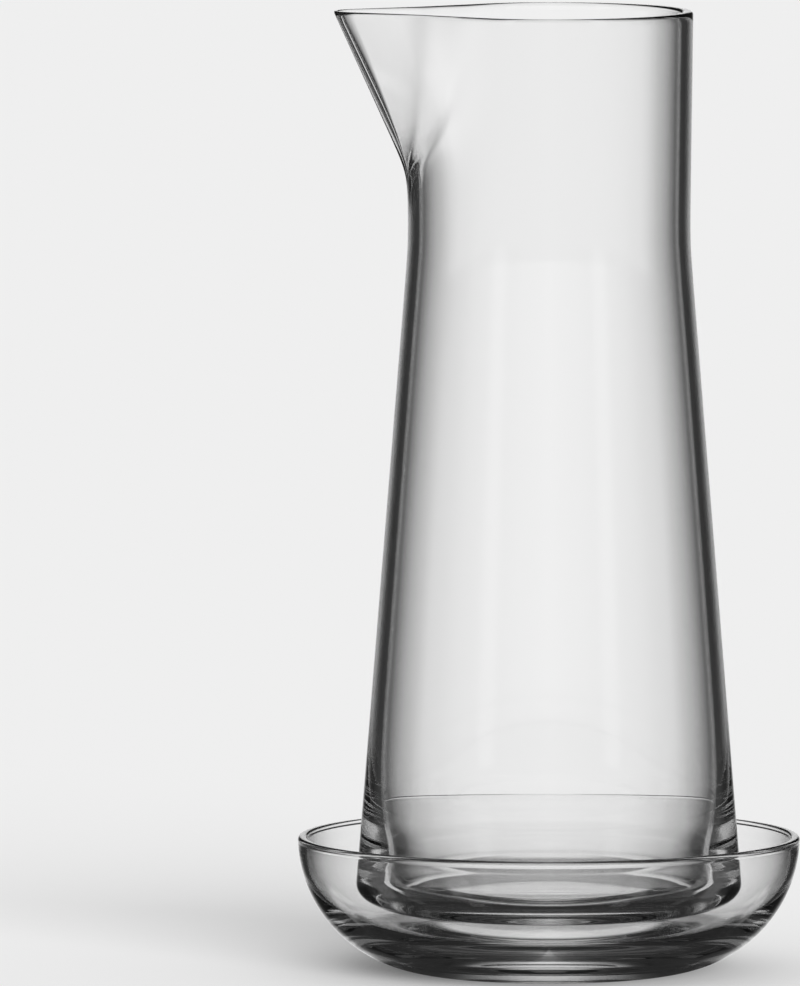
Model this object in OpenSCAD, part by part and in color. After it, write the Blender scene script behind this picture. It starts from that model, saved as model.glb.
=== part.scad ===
// Water carafe with a pinched spout, standing in a thick-bottomed round bowl.
// Millimetres, +Z up, spout towards -X. Origin at the bottom centre of the bowl.

/* [Bowl] */
// Gap between the carafe's heel and the bowl's wall at the rim
bowl_gap = 13.3; // [9:0.1:18]
// Height of the bowl, which is also the radius of its round outer side
bowl_h = 36.6; // [30:0.2:44]
// Height of the straight stretch of the bowl's inner side
bowl_straight = 3.4; // [1:0.1:6]
// Thickness of the bowl's wall at the rim
bowl_wall = 2.6; // [2.4:0.1:3.5]
// Thickness of the bowl's floor
bowl_floor = 9.2; // [5:0.2:12]

/* [Carafe] */
// Height of the carafe's rim above the table, standing in the bowl
carafe_top = 260; // [230:1:290]
// Gap between the bowl's floor and the carafe's foot
seat_gap = 0.2; // [0.1:0.05:0.5]
// Outer diameter of the flat foot
foot_d = 55; // [48:0.5:62]
// Outer diameter where the straight wall meets the heel
heel_d = 104; // [96:0.5:108]
// Height of that place above the foot
heel_h = 15.6; // [13:0.2:20]
// Radius of the heel's round corner
heel_r = 8.5; // [6:0.25:11]
// Outer diameter of the neck at its narrowest
neck_d = 76.1; // [68:0.5:80]
// Height of that place above the foot
neck_h = 188; // [165:1:200]
// Outer diameter of the round part of the rim
rim_d = 77.6; // [72:0.2:84]
// Length over which the wall bends from the cone into the neck
shoulder_bend = 2.5; // [1:0.25:6]

/* [Glass] */
// Thickness of the glass at the rim
rim_wall = 3.1; // [2.4:0.1:4]
// Thickness that the wall would reach at the heel without its swell
body_wall = 4; // [3.2:0.1:5]
// How much thicker the wall gets towards the base
swell_wall = 5.2; // [2:0.1:7]
// Height above the foot at which it has half of that swell
swell_h = 24.1; // [20:0.5:30]
// Length over which the swell comes in
swell_bend = 7.5; // [5:0.25:10]
// Thickness of the glass below the cavity, at the centre
base_wall = 10.6; // [8:0.2:14]
// Radius of the cavity's round bottom corner
cavity_r = 7.5; // [5:0.25:10]
// Rounding of the rims' edges
edge_r = 1; // [0.4:0.05:1.2]

/* [Spout] */
// Distance of the spout's lip from the axis
spout_reach = 58.2; // [50:0.5:66]
// Depth below the rim at which the spout starts
spout_depth = 44; // [34:1:52]
// Length over which the neck bends into the spout
spout_bend = 2.2; // [1:0.1:4]
// Radius of the spout's round nose
nose_r = 8.9; // [6:0.1:12]
// How far the spout's flanks are pinched in at the rim
spout_pinch = 5.8; // [3:0.1:8]
// Depth of the hollow beside the spout at the rim
hollow_depth = 2.5; // [0:0.1:4]
// Length over which the crease between the spout and the neck is rounded
crease_bend = 2.5; // [0.5:0.1:3.5]
// Share of the wall that is drawn thin at the lip
thinning_share = 0.55; // [0.2:0.05:0.7]

/* [Hidden] */
$fn = 120;

// Overrun of a cut past the face that it opens
over = 1;

// Largest angle that one straight piece of a round corner spans
arc_step = 4;

// Angle from the spout's middle at which the hollow is deepest, and its spread
hollow_angle = 49;
hollow_spread = 21;

// How far round from the spout's middle the wall is drawn thin
thin_spread = 40;

// The bowl's outer diameter, round the carafe's heel, and the radius of its inner side
bowl_d = heel_d + 2 * (bowl_gap + bowl_wall);
hollow_r = bowl_h - bowl_floor - bowl_straight;

// Heights in the row frame
foot_z = bowl_floor + seat_gap;
heel_z = foot_z + heel_h;
neck_z = foot_z + neck_h;
spout_z = carafe_top - spout_depth;
cavity_z = foot_z + base_wall;
swell_z = foot_z + swell_h;

// Where the turned body ends and the shaped neck begins, and how the two join
join_z = (neck_z + spout_z) / 2;
join_lap = 2;
join_inset = 0.05;
lap_inset = rim_wall / 6;

// Slopes of the wall: millimetres of radius for each millimetre of height
neck_flare = (rim_d - neck_d) / 2 / (carafe_top - neck_z);
cone_taper = (heel_d - neck_d) / 2 / (neck_z - heel_z);

// Half the height over which the inner side's slope is measured
slope_step = 0.01;

// Slope of the spout's nose beyond the neck's own flare
spout_slope = (spout_reach - rim_d / 2) / spout_depth;

// Angles of the rings that round the carafe's rim, from the side to the top
edge_angles = [0, 30, 60, 90];

// Columns round the neck, and how much closer they stand at the spout
column_count = 84;
column_crowding = 0.62;

// Heights where the wall bends into the neck, as shares of the bend
bend_shares = [-6, -4, -3, -2, -1, 0, 1, 2, 3];

// Heights of the points down the inner side, as shares of the way from its corner to the neck
inner_shares = [0.02, 0.04, 0.065, 0.095, 0.13, 0.17, 0.22, 0.28, 0.35, 0.45, 0.6, 0.8];

// Heights of the neck's rings, as shares of the way from the join to the rim
ring_shares = [0, 0.08, 0.16, 0.22, 0.27, 0.31, 0.35, 0.39, 0.45, 0.53, 0.62, 0.72, 0.82, 0.91];

// A bend that the length s rounds: zero well below x = 0, and x itself well above
function soft_ramp(x, s) = s * ln(1 + exp(x / s));

// Outer radius of the carafe's round wall at height z
function wall_r(z) = neck_d / 2 + neck_flare * (z - neck_z)
    + (cone_taper + neck_flare) * soft_ramp(neck_z - z, shoulder_bend);

// Thickness of the wall at height z: even in the neck, thicker with the square of the way down,
// and with a soft swell above the base
function wall_t(z) = rim_wall
    + (body_wall - rim_wall) * pow(max(neck_z - z, 0) / (neck_z - heel_z), 2)
    + swell_wall / (1 + exp((z - swell_z) / swell_bend));

// Inner radius of the carafe's round wall at height z, and its growth for each millimetre up
function inner_r(z) = wall_r(z) - wall_t(z);
function inner_slope(z) = (inner_r(z + slope_step) - inner_r(z - slope_step)) / (2 * slope_step);

// Points of an arc round center from angle a0 to a1, as [radius from the axis, height]
function arc_points(center, r, a0, a1) =
    let (steps = ceil(abs(a1 - a0) / arc_step))
    [for (i = [0:steps]) let (a = a0 + (a1 - a0) * i / steps)
        [center[0] + r * cos(a), center[1] + r * sin(a)]];

// Distance of the spout's nose from the axis at height z
function nose_reach(z) = wall_r(z) + spout_slope * soft_ramp(z - spout_z, spout_bend);

// How far the spout is formed at height z, from 0 on the neck to 1 at the rim
function spout_share(z) = (nose_reach(z) - wall_r(z)) / (spout_reach - rim_d / 2);

// Distance from the axis of the nose's circle, at the angle a from the spout's middle
function nose_polar(a, dist, r) = dist * cos(a) + sqrt(max(r * r - pow(dist * sin(a), 2), 0));

// Distance from the axis of the flank, a line at distance p whose foot is at the angle foot
function flank_polar(a, p, foot) = a < foot ? p / cos(a - foot) : p * cos(a - foot);

// The larger of two distances, with a crease that the length k rounds where they meet
function soft_max(x, y, k) = (x + y + sqrt(pow(x - y, 2) + k * k)) / 2;

// Outline of the neck at height z and the angle a from the spout, drawn in by the thickness wall,
// less where the spout is drawn thin: the neck's circle, the nose's circle and the lines that
// join them
function neck_outline(z, a, wall) =
    let (share = spout_share(z))
    let (t = wall * (1 - thinning_share * share * exp(-pow(a / thin_spread, 2))))
    let (round_r = wall_r(z))
    let (tip_r = nose_r - t)
    let (dist = nose_reach(z) - nose_r)
    let (p = round_r - spout_pinch * share * share - t)
    let (foot = acos(min((p - tip_r) / dist, 1)))
    let (tangent = atan2(tip_r * sin(foot), dist + tip_r * cos(foot)))
    let (lead = a < tangent ? nose_polar(a, dist, tip_r) : flank_polar(a, p, foot))
    let (hollow = hollow_depth * share * exp(-pow((a - hollow_angle) / hollow_spread, 2)))
    soft_max(round_r - hollow - t, lead, crease_bend * share);

// Angle of column i, closer together round the nose
function column_angle(i) =
    let (a = 360 * i / column_count - 180)
    a - column_crowding * sin(a) * 180 / PI;

// One ring of the neck at height z, drawn in by the thickness t
function neck_ring(z, t) = [for (i = [0:column_count - 1])
    let (a = column_angle(i))
    let (r = neck_outline(z, abs(a), t))
    [-r * cos(a), -r * sin(a), z]];

// One ring of the rim's rounding at the angle a, on the outer side for inner = 0 and on the inner
// side for inner = 1
function edge_ring(a, inner) =
    let (drawn = edge_r * (1 - cos(a)))
    neck_ring(carafe_top - edge_r + edge_r * sin(a), inner * (rim_wall - drawn) + (1 - inner) * drawn);

// Half section of the bowl: both sides are quarter circles, the inner one below a straight
// stretch, and the rim's edges are rounded
function bowl_outline() =
    let (outer_r = bowl_d / 2)
    let (side_r = outer_r - bowl_wall)
    let (edge_z = bowl_h - edge_r)
    concat(
        [[0, 0]],
        arc_points([outer_r - bowl_h, bowl_h], bowl_h, -90, -asin(edge_r / bowl_h)),
        arc_points([outer_r - edge_r, edge_z], edge_r, 0, 90),
        arc_points([side_r + edge_r, edge_z], edge_r, 90, 180),
        arc_points([side_r - hollow_r, bowl_floor + hollow_r], hollow_r, 0, -90),
        [[0, bowl_floor]]);

// The wall's bend into the neck, drawn in by the wall's thickness times inside
function bend_points(inside) = [for (share = bend_shares)
    let (z = neck_z + share * shoulder_bend)
    if (z < join_z) [wall_r(z) - inside * wall_t(z), z]];

// Half section of the carafe below the join: foot, underside, heel and wall
function body_outline() =
    let (tilt = atan(cone_taper))
    let (center = [heel_d / 2 - heel_r * cos(tilt), heel_z - heel_r * sin(tilt)])
    let (run = center[0] - foot_d / 2)
    let (rise = center[1] - foot_z)
    let (lean = atan2(rise, run) - asin(heel_r / norm([run, rise])))
    concat(
        [[0, foot_z], [foot_d / 2, foot_z]],
        arc_points(center, heel_r, lean - 90, tilt),
        bend_points(0),
        [[wall_r(join_z), join_z], [0, join_z]]);

// Half section of the hollow inside that stretch. Its corner meets the side at the side's slope.
function cavity_outline() =
    let (corner_z = cavity_z + cavity_r)
    let (turn = -atan(inner_slope(corner_z)))
    let (side_z = corner_z + cavity_r * sin(turn))
    let (center = [inner_r(side_z) - cavity_r * cos(turn), corner_z])
    let (bend_z = neck_z + bend_shares[0] * shoulder_bend)
    concat(
        [[0, cavity_z]],
        arc_points(center, cavity_r, -90, turn),
        [for (share = inner_shares)
            let (z = side_z + share * (bend_z - side_z))
            [inner_r(z), z]],
        bend_points(1),
        [[inner_r(join_z), join_z], [inner_r(join_z), join_z + over], [0, join_z + over]]);

module bowl() {
    color("lightcyan")
        rotate_extrude()
            polygon(bowl_outline());
}

// The carafe from its foot to the join
module turned_body() {
    rotate_extrude()
        difference() {
            polygon(body_outline());
            polygon(cavity_outline());
        }
}

// The neck with its spout: rings up the outside, over the rim and down the inside
module shaped_neck() {
    heights = [for (s = ring_shares) join_z + s * (carafe_top - join_z)];
    rings = concat(
        [neck_ring(join_z - join_lap, lap_inset)],
        [neck_ring(join_z - join_inset, lap_inset)],
        [for (z = heights) neck_ring(z, z == join_z ? join_inset : 0)],
        [for (a = edge_angles) edge_ring(a, 0)],
        [for (i = [len(edge_angles) - 1:-1:0]) edge_ring(edge_angles[i], 1)],
        [for (i = [len(heights) - 1:-1:0]) let (z = heights[i])
            neck_ring(z, wall_t(z) - (i == 0 ? join_inset : 0))],
        [neck_ring(join_z - join_inset, wall_t(join_z) - lap_inset)],
        [neck_ring(join_z - join_lap, wall_t(join_z) - lap_inset)]);
    count = len(rings);
    function corner(ring, column) = ring % count * column_count + column % column_count;
    points = [for (ring = rings) each ring];
    faces = [for (k = [0:count - 1]) for (i = [0:column_count - 1]) each [
        [corner(k, i), corner(k + 1, i + 1), corner(k, i + 1)],
        [corner(k, i), corner(k + 1, i), corner(k + 1, i + 1)]]];
    polyhedron(points = points, faces = faces);
}

module carafe() {
    color("azure")
        union() {
            turned_body();
            shaped_neck();
        }
}

bowl();
carafe();
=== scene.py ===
import math

import bpy
import numpy as np
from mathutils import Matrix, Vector


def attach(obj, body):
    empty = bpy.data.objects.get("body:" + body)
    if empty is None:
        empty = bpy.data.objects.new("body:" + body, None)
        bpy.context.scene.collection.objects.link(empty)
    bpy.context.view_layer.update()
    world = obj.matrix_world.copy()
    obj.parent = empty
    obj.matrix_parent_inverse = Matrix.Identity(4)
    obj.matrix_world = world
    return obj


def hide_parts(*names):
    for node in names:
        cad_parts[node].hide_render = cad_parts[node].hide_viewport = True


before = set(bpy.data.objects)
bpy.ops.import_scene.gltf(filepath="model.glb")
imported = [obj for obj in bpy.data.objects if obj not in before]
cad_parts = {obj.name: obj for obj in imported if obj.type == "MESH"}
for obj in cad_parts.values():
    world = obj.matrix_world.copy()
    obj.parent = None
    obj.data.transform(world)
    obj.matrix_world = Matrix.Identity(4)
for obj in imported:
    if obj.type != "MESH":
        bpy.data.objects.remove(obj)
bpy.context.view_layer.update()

print("frame loaded")

mm = 0.001
photoSize = (800, 986)  # the photograph's frame, in pixels

scene = bpy.context.scene
scene.view_settings.view_transform = "Standard"
scene.cycles.max_bounces = 32
scene.cycles.transmission_bounces = 32
scene.cycles.glossy_bounces = 16
scene.cycles.caustics_refractive = False  # the glass lets shadow rays through instead
scene.cycles.caustics_reflective = False


# The camera

camera = {
    "distance": 5185 * mm,        # from the carafe's axis, along the floor
    "height": 583.5 * mm,         # above the floor
    "focalPixels": 19273,         # focal length in pixels of the photograph
    "aimLeft": 40.25 * mm,        # how far left of the axis the camera looks
    "aimHeight": 129.53 * mm,     # and how high
    "sensor": 36,                 # width of the sensor, as Blender has it
    "reach": 200,                 # the farthest thing that the camera sees, in metres
}


def makeCamera(c):
    # The camera stands in front of the object and looks slightly down at it.
    data = bpy.data.cameras.new("camera")
    data.sensor_width = c["sensor"]
    data.lens = c["focalPixels"] * c["sensor"] / max(photoSize)
    data.clip_end = c["reach"]
    obj = bpy.data.objects.new("camera", data)
    scene.collection.objects.link(obj)
    obj.location = (0, -c["distance"], c["height"])
    aim = Vector((-c["aimLeft"], 0, c["aimHeight"]))
    obj.rotation_euler = (aim - obj.location).to_track_quat("-Z", "Y").to_euler()
    scene.camera = obj


makeCamera(camera)
print("camera set")


# Shader helpers

class Sock:
    # A shader socket that can be used in sums: each operator adds the Math node that works it out.

    def __init__(self, tree, out):
        self.tree = tree
        self.out = out

    def math(self, operation, *values):
        node = self.tree.nodes.new("ShaderNodeMath")
        node.operation = operation
        for socket, value in zip(node.inputs, values):
            if isinstance(value, Sock):
                self.tree.links.new(value.out, socket)
            else:
                socket.default_value = value
        return Sock(self.tree, node.outputs[0])

    def __add__(self, other):
        return self.math("ADD", self, other)

    def __radd__(self, other):
        return self.math("ADD", other, self)

    def __sub__(self, other):
        return self.math("SUBTRACT", self, other)

    def __rsub__(self, other):
        return self.math("SUBTRACT", other, self)

    def __mul__(self, other):
        return self.math("MULTIPLY", self, other)

    def __rmul__(self, other):
        return self.math("MULTIPLY", other, self)

    def __truediv__(self, other):
        return self.math("DIVIDE", self, other)

    def __abs__(self):
        return self.math("ABSOLUTE", self)


class Shader:
    # The nodes of one material, with one way to add a node.

    def __init__(self, tree):
        self.tree = tree
        tree.nodes.clear()

    def add(self, kind, settings=None, outs=(0,), **sockets):
        # A node of that kind: first its settings, then its sockets' values or links. Stops are a
        # ramp's places and levels. The outputs asked for come back, one alone or several as a list.
        node = self.tree.nodes.new("ShaderNode" + kind)
        for name, value in (settings or {}).items():
            if name == "stops":
                ramp = node.color_ramp.elements
                while len(ramp) < len(value):
                    ramp.new(1)
                for element, (place, level) in zip(ramp, value):
                    element.position = place
                    element.color = (level, level, level, 1)
            else:
                setattr(node, name, value)
        byName = {socket.identifier: socket for socket in node.inputs}
        for name, value in sockets.items():
            socket = byName.get(name) or byName[name.replace("_", " ")]
            if isinstance(value, Sock):
                self.tree.links.new(value.out, socket)
            else:
                socket.default_value = value
        given = [Sock(self.tree, node.outputs[out]) for out in outs if node.outputs]
        return given[0] if len(given) == 1 else given


# The glass

glass = {
    "ior": 1.5,
    "tint": (0.99, 0.99, 0.99, 1),
    "absorbColour": (0.88, 0.88, 0.88, 1),
    "absorbDensity": 27.0,         # per metre of glass
    "roughness": 0.0,
    "waveScale": 26.0,             # waves of the surface for each metre
    "waveHeight": 0.02 * mm,
    "waveDetail": 3.0,             # how many times finer waves are laid over them
    "waveRoughness": 0.45,         # the share of its height that each finer wave has
}


def makeGlass(name, g, shade):
    # Clear glass: smooth, slightly grey in its depth, with a faint slow wave in its surface. Light
    # that casts the shadow goes straight through it, and each surface lets the share shade through.
    material = bpy.data.materials.new(name)
    material.use_nodes = True
    sh = Shader(material.node_tree)
    place = sh.add("TexCoord", outs=("Object",))
    wave = sh.add("TexNoise", Vector=place, Scale=g["waveScale"], Detail=g["waveDetail"],
                  Roughness=g["waveRoughness"])
    bump = sh.add("Bump", Strength=1.0, Distance=g["waveHeight"], Height=wave)
    body = sh.add("BsdfPrincipled", Base_Color=g["tint"], Roughness=g["roughness"], IOR=g["ior"],
                  Transmission_Weight=1.0, Normal=bump)
    through = sh.add("BsdfTransparent", Color=(shade, shade, shade, 1))
    isShadow = sh.add("LightPath", outs=("Is Shadow Ray",))
    skin = sh.add("MixShader", Fac=isShadow, Shader=body, Shader_001=through)
    depth = sh.add("VolumeAbsorption", Color=g["absorbColour"], Density=g["absorbDensity"])
    sh.add("OutputMaterial", Surface=skin, Volume=depth)
    return material


# Surfaces

poleRadius = 0.4 * mm  # the last ring before a pole


def closedLathe(name, rings, material):
    # A closed skin from rings, an array of rings x columns x 3. Each ring is one turn round the axis,
    # each face joins two neighbours of a ring to those of the next, and a point closes both ends.
    ringCount, columnCount = rings.shape[:2]
    poles = np.array([rings[0].mean(axis=0), rings[-1].mean(axis=0)])
    points = np.concatenate([rings.reshape(-1, 3), poles])
    ring, column = np.meshgrid(np.arange(ringCount - 1), np.arange(columnCount), indexing="ij")
    beside = (column + 1) % columnCount
    quads = np.stack([ring * columnCount + column, ring * columnCount + beside,
                      (ring + 1) * columnCount + beside, (ring + 1) * columnCount + column], axis=-1)
    first = np.arange(columnCount)
    after = (first + 1) % columnCount
    last = (ringCount - 1) * columnCount
    bottom = np.stack([after, first, np.full(columnCount, len(points) - 2)], axis=-1)
    top = np.stack([last + first, last + after, np.full(columnCount, len(points) - 1)], axis=-1)
    fans = np.concatenate([bottom, top])
    corners = np.concatenate([quads.ravel(), fans.ravel()]).astype(np.int32)
    sizes = np.concatenate([np.full(quads.size // 4, 4), np.full(len(fans), 3)]).astype(np.int32)
    starts = np.concatenate([[0], np.cumsum(sizes)[:-1]]).astype(np.int32)
    mesh = bpy.data.meshes.new(name)
    mesh.vertices.add(len(points))
    mesh.vertices.foreach_set("co", points.astype(np.float32).ravel())
    mesh.loops.add(len(corners))
    mesh.loops.foreach_set("vertex_index", corners)
    mesh.polygons.add(len(sizes))
    mesh.polygons.foreach_set("loop_start", starts)
    mesh.polygons.foreach_set("loop_total", sizes)
    mesh.polygons.foreach_set("use_smooth", np.ones(len(sizes), bool))
    mesh.update(calc_edges=True)
    mesh.validate()
    mesh.materials.append(material)
    obj = bpy.data.objects.new(name, mesh)
    scene.collection.objects.link(obj)
    return obj


def arcPoints(centre, radii, start, end, count):
    # Points of an elliptic arc in the half section: centre + (a cos t, b sin t), t from start to end
    # degrees, with a and b the two radii.
    t = np.radians(np.linspace(start, end, count))
    return np.stack([centre[0] + radii[0] * np.cos(t), centre[1] + radii[1] * np.sin(t)], axis=-1)


def linePoints(start, end, count):
    # Points from start up to but not at end, evenly spaced.
    share = np.arange(count)[:, None] / count
    return np.array(start) + share * (np.array(end) - np.array(start))


def turnSection(section, columns):
    # Rings of a turned shape: x = r cos a, y = r sin a, z, for each point (r, z) of the section.
    angle = np.linspace(0, 2 * np.pi, columns, endpoint=False)
    r = section[:, :1]
    z = np.broadcast_to(section[:, 1:], (len(section), columns))
    return np.stack([r * np.cos(angle), r * np.sin(angle), z], axis=-1)


# The bowl

bowl = {
    "diameter": 135.8 * mm,
    "height": 36.6 * mm,        # also the radius of its round outer side
    "wall": 2.6 * mm,
    "floor": 9.2 * mm,
    "straight": 3.4 * mm,       # height of the straight stretch of its inner side
    "edge": 1 * mm,             # rounding of the rim's edges
    "columns": 352,
    "flatPoints": 8,            # points of the section along each flat
    "sidePoints": 56,           # along each round side
    "edgePoints": 8,            # round each edge of the rim
    "shade": 0.99,              # share of the light that each surface lets through into the shadow
}


def bowlSection(b):
    # Half section of the bowl, from the foot's middle round the outside, over the rim and down to the
    # inner floor's middle. The outer side is a quarter circle, centred level with the rim, and the
    # inner one a smaller quarter circle below a straight stretch.
    outer = b["diameter"] / 2
    inner = outer - b["wall"]
    top = b["height"] - b["edge"]
    lift = math.degrees(math.asin(b["edge"] / b["height"]))
    curve = b["height"] - b["floor"] - b["straight"]
    edge = (b["edge"], b["edge"])
    flats, sides, edges = b["flatPoints"], b["sidePoints"], b["edgePoints"]
    return np.concatenate([
        linePoints([poleRadius, 0], [outer - b["height"], 0], flats),
        arcPoints([outer - b["height"], b["height"]], (b["height"], b["height"]), -90, -lift, sides),
        arcPoints([outer - b["edge"], top], edge, 0, 90, edges),
        arcPoints([inner + b["edge"], top], edge, 90, 180, edges),
        arcPoints([inner - curve, b["floor"] + curve], (curve, curve), 0, -90, sides),
        linePoints([inner - curve, b["floor"]], [poleRadius, b["floor"]], flats)[1:],
        [[poleRadius, b["floor"]]]])


bowlGlass = makeGlass("bowlGlass", glass, bowl["shade"])
bowlPiece = closedLathe("bowl_glass", turnSection(bowlSection(bowl), bowl["columns"]), bowlGlass)
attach(bowlPiece, "bowl")
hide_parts("bowl")
print("bowl made")


# The carafe

carafe = {
    "top": 260 * mm,             # height of the rim above the table
    "foot": 9.4 * mm,            # height of the foot
    "footDiameter": 55 * mm,
    "heelDiameter": 104 * mm,
    "heelHeight": 15.6 * mm,     # above the foot
    "heelRadius": 8.5 * mm,
    "neckDiameter": 76.1 * mm,
    "neckHeight": 188 * mm,      # above the foot
    "rimDiameter": 77.6 * mm,
    "shoulderBend": 2.5 * mm,    # the length over which the cone bends into the neck
    "rimWall": 3.1 * mm,
    "bodyWall": 4 * mm,          # what the wall would reach at the heel without its swell
    "swell": 5.2 * mm,           # how much thicker the wall gets towards the base
    "swellHeight": 24.1 * mm,    # above the foot, where it has half of that
    "swellBend": 7.5 * mm,       # the length over which it comes in
    "baseWall": 10.6 * mm,
    "cavityCorner": 7.5 * mm,
    "edge": 1 * mm,              # rounding of the rim's edges
    "columns": 280,
    "crowding": 0.4,             # how much closer the columns stand at the spout
    "flatPoints": 8,             # points of the section along each flat
    "risePoints": 6,             # from the foot up to the heel
    "heelPoints": 36,
    "cornerPoints": 60,          # round the cavity's corner
    "edgePoints": 7,             # round each edge of the rim
    "conePoints": 60,            # up the cone
    "coneGrowth": 1.6,           # the power by which their steps grow
    "shoulderPoints": 16,        # from the shoulder to the spout
    "shoulderReach": 6,          # how many bends below the neck these begin
    "shade": 0.74,               # as the bowl's; each surface takes more, for a darker shadow
}

spout = {
    "reach": 58.2 * mm,          # from the axis to the lip
    "depth": 44 * mm,            # from the rim down to where the spout starts
    "bend": 2.2 * mm,            # the length over which the neck bends into it
    "noseRadius": 8.9 * mm,
    "pinch": 5.8 * mm,           # how far its flanks are drawn in at the rim
    "hollow": 2.5 * mm,          # depth of the hollow beside it at the rim
    "hollowAngle": 49,           # where that is deepest, in degrees from the spout's middle
    "hollowSpread": 21,          # and its breadth, in degrees
    "crease": 2.5 * mm,          # the length over which flank and neck are blended
    "thinning": 0.55,            # share of the wall that the pulling takes away at the lip
    "thinSpread": 40,            # and how far round, in degrees
    "startPoints": 18,           # points up the bend at its start
    "startBelow": 4,             # how many bends below the start these begin
    "startAbove": 5,             # and how many above it they end
    "lipPoints": 18,             # from there up to the rim
}

slopeStep = 0.01 * mm  # half the height over which the inner wall's slope is measured
leastShare = 1e-5      # below this share of the spout the wall is round


def softRamp(x, s):
    # A bend that the length s rounds: s ln(1 + exp(x / s)).
    return s * np.logaddexp(0, x / s)


class CarafeShape:
    # The carafe's wall: its radius at a height and an angle from the spout, and its thickness.

    def __init__(self, c, s):
        self.c = c
        self.s = s
        self.neckZ = c["foot"] + c["neckHeight"]
        self.heelZ = c["foot"] + c["heelHeight"]
        self.flare = (c["rimDiameter"] - c["neckDiameter"]) / 2 / (c["top"] - self.neckZ)
        self.taper = (c["heelDiameter"] - c["neckDiameter"]) / 2 / (self.neckZ - self.heelZ)
        self.gain = (c["bodyWall"] - c["rimWall"]) / (self.neckZ - self.heelZ) ** 2
        self.spoutZ = c["top"] - s["depth"]
        self.slope = (s["reach"] - c["rimDiameter"] / 2) / s["depth"]

    def wallRadius(self, z):
        # A neck that flares slowly upwards and a straight cone below it, with a soft bend between:
        # d / 2 + flare (z - n) + (taper + flare) ramp(n - z).
        return (self.c["neckDiameter"] / 2 + self.flare * (z - self.neckZ)
                + (self.taper + self.flare) * softRamp(self.neckZ - z, self.c["shoulderBend"]))

    def wallThickness(self, z):
        # Even in the neck, then thicker with the square of the way down, with a soft swell above
        # the base: w + g (n - z)^2 + s / (1 + exp((z - h) / b)).
        c = self.c
        swell = c["swell"] / (1 + np.exp((z - c["foot"] - c["swellHeight"]) / c["swellBend"]))
        return c["rimWall"] + self.gain * np.maximum(self.neckZ - z, 0) ** 2 + swell

    def innerRadius(self, z):
        # The outer radius less the wall.
        return self.wallRadius(z) - self.wallThickness(z)

    def spoutShare(self, z):
        # How far the spout stands out at height z, as a length and as a share that is 0 on the neck
        # and 1 at the rim: slope ramp(z - start).
        out = self.slope * softRamp(z - self.spoutZ, self.s["bend"])
        return out, out / (self.s["reach"] - self.c["rimDiameter"] / 2)

    def radius(self, z, angle, inset):
        # The neck's circle and a small nose circle, joined by two straight flanks that are pinched in
        # towards the rim. The larger of circle and flank counts, with a soft crease where they meet.
        # The wall, and so the inset, is thinner round the nose.
        s = self.s
        out, share = self.spoutShare(z)
        thinned = s["thinning"] * share * np.exp(-(np.degrees(angle) / s["thinSpread"]) ** 2)
        inset = inset * (1 - thinned)
        neck = self.wallRadius(z)
        nose = s["noseRadius"] - inset
        middle = neck + out - s["noseRadius"]
        line = neck - s["pinch"] * share ** 2 - inset
        foot = np.arccos(np.clip((line - nose) / middle, -1, 1))
        tangent = np.arctan2(nose * np.sin(foot), middle + nose * np.cos(foot))
        under = np.maximum(nose ** 2 - (middle * np.sin(angle)) ** 2, 0)
        onNose = middle * np.cos(angle) + np.sqrt(under)
        onFlank = np.where(angle < foot, line / np.cos(np.minimum(angle - foot, 0)),
                           line * np.cos(angle - foot))
        lead = np.where(angle < tangent, onNose, onFlank)
        beside = (np.degrees(angle) - s["hollowAngle"]) / s["hollowSpread"]
        hollow = s["hollow"] * share * np.exp(-beside ** 2)
        circle = neck - hollow - inset
        crease = s["crease"] * share
        shaped = (circle + lead + np.sqrt((circle - lead) ** 2 + crease ** 2)) / 2
        return np.where(share < leastShare, neck - inset, shaped)


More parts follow.
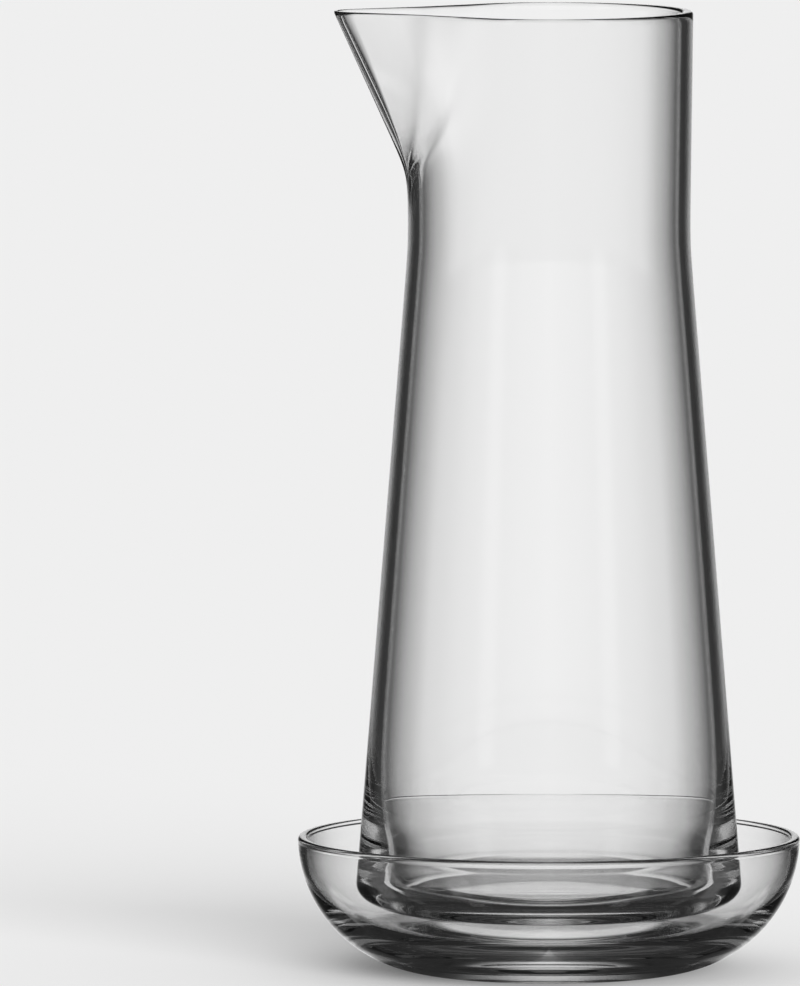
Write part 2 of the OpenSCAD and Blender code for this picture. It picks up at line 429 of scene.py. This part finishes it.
def carafeRings(c, s):
    # Rings of the carafe, as height and inset from the outer wall: foot, heel, wall, rim, cavity.
    shape = CarafeShape(c, s)
    tilt = math.atan(shape.taper)
    centre = np.array([c["heelDiameter"] / 2 - c["heelRadius"] * math.cos(tilt),
                       shape.heelZ - c["heelRadius"] * math.sin(tilt)])
    footEdge = np.array([c["footDiameter"] / 2, c["foot"]])
    run, rise = centre - footEdge
    lean = math.atan2(rise, run) - math.asin(c["heelRadius"] / math.hypot(run, rise))
    heelRadii = (c["heelRadius"], c["heelRadius"])
    heel = arcPoints(centre, heelRadii, math.degrees(lean) - 90, math.degrees(tilt), c["heelPoints"])
    under = np.concatenate([
        linePoints([poleRadius, c["foot"]], footEdge, c["flatPoints"]),
        linePoints(footEdge, heel[0], c["risePoints"]),
        heel])
    cavityZ = c["foot"] + c["baseWall"]
    cornerZ = cavityZ + c["cavityCorner"]
    above = shape.innerRadius(cornerZ + slopeStep)
    slope = (above - shape.innerRadius(cornerZ - slopeStep)) / (2 * slopeStep)
    turn = -math.atan(slope)
    sideZ = cornerZ + c["cavityCorner"] * math.sin(turn)
    cornerR = shape.innerRadius(sideZ) - c["cavityCorner"] * math.cos(turn)
    cornerRadii = (c["cavityCorner"], c["cavityCorner"])
    bottom = np.concatenate([
        arcPoints([cornerR, cornerZ], cornerRadii, math.degrees(turn), -90, c["cornerPoints"]),
        linePoints([cornerR, cavityZ], [poleRadius, cavityZ], c["flatPoints"])[1:],
        [[poleRadius, cavityZ]]])

    def heights(low, high):
        # Steps that grow up the cone, closer ones round the shoulder and up the spout.
        shoulder = shape.neckZ - c["shoulderReach"] * c["shoulderBend"]
        start = shape.spoutZ - s["startBelow"] * s["bend"]
        end = shape.spoutZ + s["startAbove"] * s["bend"]
        climb = (np.arange(c["conePoints"]) / c["conePoints"]) ** c["coneGrowth"]
        return np.concatenate([
            low + (shoulder - low) * climb,
            np.linspace(shoulder, start, c["shoulderPoints"], endpoint=False),
            np.linspace(start, end, s["startPoints"], endpoint=False),
            np.linspace(end, high, s["lipPoints"])])

    edgeZ = c["top"] - c["edge"]
    upOuter = heights(heel[-1, 1], edgeZ)[1:]
    upInner = heights(sideZ, edgeZ)[1:]
    quarter = np.linspace(0, np.pi / 2, c["edgePoints"])
    edge = c["edge"] * np.sin(quarter)[1:]
    drawn = c["edge"] * (1 - np.cos(quarter))[1:]
    z = np.concatenate([under[:, 1], upOuter, edgeZ + edge, edgeZ + edge[::-1], upInner[::-1],
                        bottom[:, 1]])
    inset = np.concatenate([shape.wallRadius(under[:, 1]) - under[:, 0], 0 * upOuter, drawn,
                            c["rimWall"] - drawn[::-1], shape.wallThickness(upInner[::-1]),
                            shape.wallRadius(bottom[:, 1]) - bottom[:, 0]])
    turned = np.linspace(-np.pi, np.pi, c["columns"], endpoint=False)
    angle = turned - c["crowding"] * np.sin(turned)
    r = shape.radius(z[:, None], np.abs(angle)[None, :], inset[:, None])
    level = np.broadcast_to(z[:, None], r.shape)
    return np.stack([-r * np.cos(angle), -r * np.sin(angle), level], axis=-1)


carafeGlass = makeGlass("carafeGlass", glass, carafe["shade"])
carafePiece = closedLathe("carafe_glass", carafeRings(carafe, spout), carafeGlass)
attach(carafePiece, "carafe")
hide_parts("carafe")
print("carafe made")


# The floor, the surround and the light

studio = {
    "backdrop": 0.863,         # the pale grey that the camera sees, as light
    "fill": 0.5,               # share of the floor's light that comes from all round
    "keyFrom": (0.4, -0.91),    # the key light's side, towards the camera and to the right
    "keyHeight": 43,           # its height above the horizon, in degrees
    "keySize": 38,             # its breadth, in degrees
    "floorHalf": 60,           # half the floor's breadth, in metres
    "floorGap": 0.1 * mm,      # between the floor and the bowl's foot
    "nearFloor": 53 * mm,      # how far out the glass sees the floor
    # the floor's painted light as the glass sees it, at shares of that distance: a glow under the foot
    # and a dark ring of painted contact shadow round it
    "paintedGlowAndShade": [(0, 0.9), (0.54, 0.88), (0.6, 0.04), (0.9, 0.02), (1, 0.05)],
    "contactFade": 9 * mm,     # the length over which the floor gives way to the screens
}

# What the glass sees round it: pale screens with darkness between them. Each ring gives a level at
# some degrees from straight behind, the same to both sides.
screens = {
    "down": [(0, 0.86), (5, 0.8), (8, 0.5), (10, 0.25), (13, 0.08), (24, 0.03), (60, 0.02), (180, 0.02)],
    "steep": [(0, 0.86), (5, 0.8), (8, 0.5), (10, 0.25), (13, 0.08), (24, 0.02), (40, 0.02),
              (42, 0.7), (48, 0.7), (50, 0.02), (84, 0.03), (87, 0.5), (93, 0.5), (96, 0.03),
              (128, 0.03), (131, 0.8), (139, 0.8), (142, 0.04), (180, 0.08)],
    "sunk": [(0, 0.9), (3, 0.86), (4, 0.79), (5.5, 0.68), (7.5, 0.54), (10, 0.4), (12.5, 0.26),
             (16, 0.08), (20, 0.03), (40, 0.03), (50, 0.2), (84, 0.25), (100, 0.25), (127, 0.35),
             (130, 0.82), (140, 0.82), (143, 0.4), (180, 0.6)],
    "low": [(0, 0.92), (1.8, 0.9), (3, 0.86), (4, 0.79), (5.5, 0.68), (7.5, 0.54), (10, 0.4),
            (12.5, 0.26), (16, 0.08), (20, 0.03), (38, 0.03), (44, 0.1), (52, 0.22), (75, 0.27),
            (83, 0.35), (86, 0.82), (94, 0.82), (100, 0.6), (125, 0.55), (180, 0.55)],
    "level": [(0, 0.95), (4, 0.9), (5, 0.82), (6.5, 0.5), (8, 0.12), (10, 0.02), (90, 0.04),
              (105, 0.4), (130, 0.8), (180, 1.0)],
    "raised": [(0, 0.04), (30, 0.02), (90, 0.03), (130, 0.08), (180, 0.15)],
    "high": [(0, 0.04), (60, 0.04), (110, 0.08), (135, 0.15), (160, 0.6), (180, 0.9)],
}

# The heights, in degrees, between which one ring gives way to the next.
screenEdges = [(-36, -31), (-23, -18), (-12, -10), (1.2, 2.6), (8, 13), (45, 70)]


def isThroughGlass(sh):
    # 1 for what the glass reflects or lets through, else 0.
    isGlossy, isTransmission = sh.add("LightPath", outs=("Is Glossy Ray", "Is Transmission Ray"))
    return isGlossy.math("MAXIMUM", isGlossy, isTransmission)


def makeFloor(s):
    # A plain pale floor that takes the shadow. The glass sees a disc round the foot instead, in painted
    # light: it glows by itself, bright under the foot as if lit through the glass, with a dark ring of
    # painted contact shadow round that, and gives way to the screens at its edge.
    data = bpy.data.meshes.new("floor")
    half = s["floorHalf"]
    down = -s["floorGap"]
    corners = [(-half, -half, down), (half, -half, down), (half, half, down), (-half, half, down)]
    data.from_pydata(corners, [], [(0, 1, 2, 3)])
    obj = bpy.data.objects.new("floor", data)
    scene.collection.objects.link(obj)
    material = bpy.data.materials.new("floor")
    material.use_nodes = True
    sh = Shader(material.node_tree)
    place = sh.add("TexCoord", outs=("Object",))
    away = sh.add("VectorMath", {"operation": "LENGTH"}, outs=("Value",), Vector=place)
    throughGlass = isThroughGlass(sh)
    # Painted light: to the glass the floor glows, bright under the foot, with a dark ring of painted
    # contact shadow round it.
    floorGlowAndShade = sh.add("ValToRGB", {"stops": s["paintedGlowAndShade"]}, Fac=away / s["nearFloor"])
    beyond = sh.add("MapRange", {"interpolation_type": "SMOOTHSTEP"}, Value=away,
                    From_Min=s["nearFloor"] - s["contactFade"], From_Max=s["nearFloor"])
    grey = s["backdrop"]
    # For glass rays the floor is not lit but emits this painted glow and painted contact shadow.
    ground = sh.add("BsdfPrincipled", Base_Color=(1.0 - throughGlass) * grey, Roughness=1.0,
                    Specular_IOR_Level=0.0, Emission_Color=throughGlass * floorGlowAndShade, Emission_Strength=1.0)
    gone = sh.add("BsdfTransparent")
    skin = sh.add("MixShader", Fac=beyond * throughGlass, Shader=ground, Shader_001=gone)
    sh.add("OutputMaterial", Surface=skin)
    data.materials.append(material)


def makeSurround(s, rings, edges):
    # The room: flat grey to the camera, an even white to the floor, and the screens to the glass.
    world = bpy.data.worlds.new("surround")
    scene.world = world
    world.use_nodes = True
    sh = Shader(world.node_tree)
    direction = sh.add("TexCoord", outs=("Generated",))
    x, y, z = sh.add("SeparateXYZ", outs=(0, 1, 2), Vector=direction)
    turn = abs(x.math("ARCTAN2", x, y)) / math.pi
    height = z.math("ARCSINE", z) * (180 / math.pi)
    levels = []
    for ring in rings.values():
        stops = [(degrees / 180, level) for degrees, level in ring]
        levels.append(sh.add("ValToRGB", {"stops": stops}, Fac=turn))
    seen = levels[0]
    for (start, end), level in zip(edges, levels[1:]):
        share = sh.add("MapRange", {"interpolation_type": "SMOOTHSTEP"}, Value=height,
                       From_Min=start, From_Max=end)
        seen = seen * (1.0 - share) + level * share
    isCamera = sh.add("LightPath", outs=("Is Camera Ray",))
    throughGlass = isThroughGlass(sh)
    strength = (isCamera * s["backdrop"] + throughGlass * seen
                + (1.0 - isCamera.math("MAXIMUM", isCamera, throughGlass)) * s["fill"])
    sh.add("OutputWorld", Surface=sh.add("Background", Color=(1, 1, 1, 1), Strength=strength))


def makeKey(s):
    # A broad sun that casts the shadow and that the glass doesn't show. With the fill it brings the
    # light on a bare floor to about 1.
    data = bpy.data.lights.new("key", "SUN")
    up = math.radians(s["keyHeight"])
    data.energy = (1 - s["fill"]) * math.pi / math.sin(up)
    data.angle = math.radians(s["keySize"])
    obj = bpy.data.objects.new("key", data)
    scene.collection.objects.link(obj)
    side = Vector((s["keyFrom"][0], s["keyFrom"][1], 0)).normalized() * math.cos(up)
    toward = Vector((side.x, side.y, math.sin(up)))
    obj.rotation_euler = toward.to_track_quat("Z", "Y").to_euler()
    obj.visible_glossy = False
    obj.visible_transmission = False


makeFloor(studio)
makeSurround(studio, screens, screenEdges)
makeKey(studio)
print("studio lit")
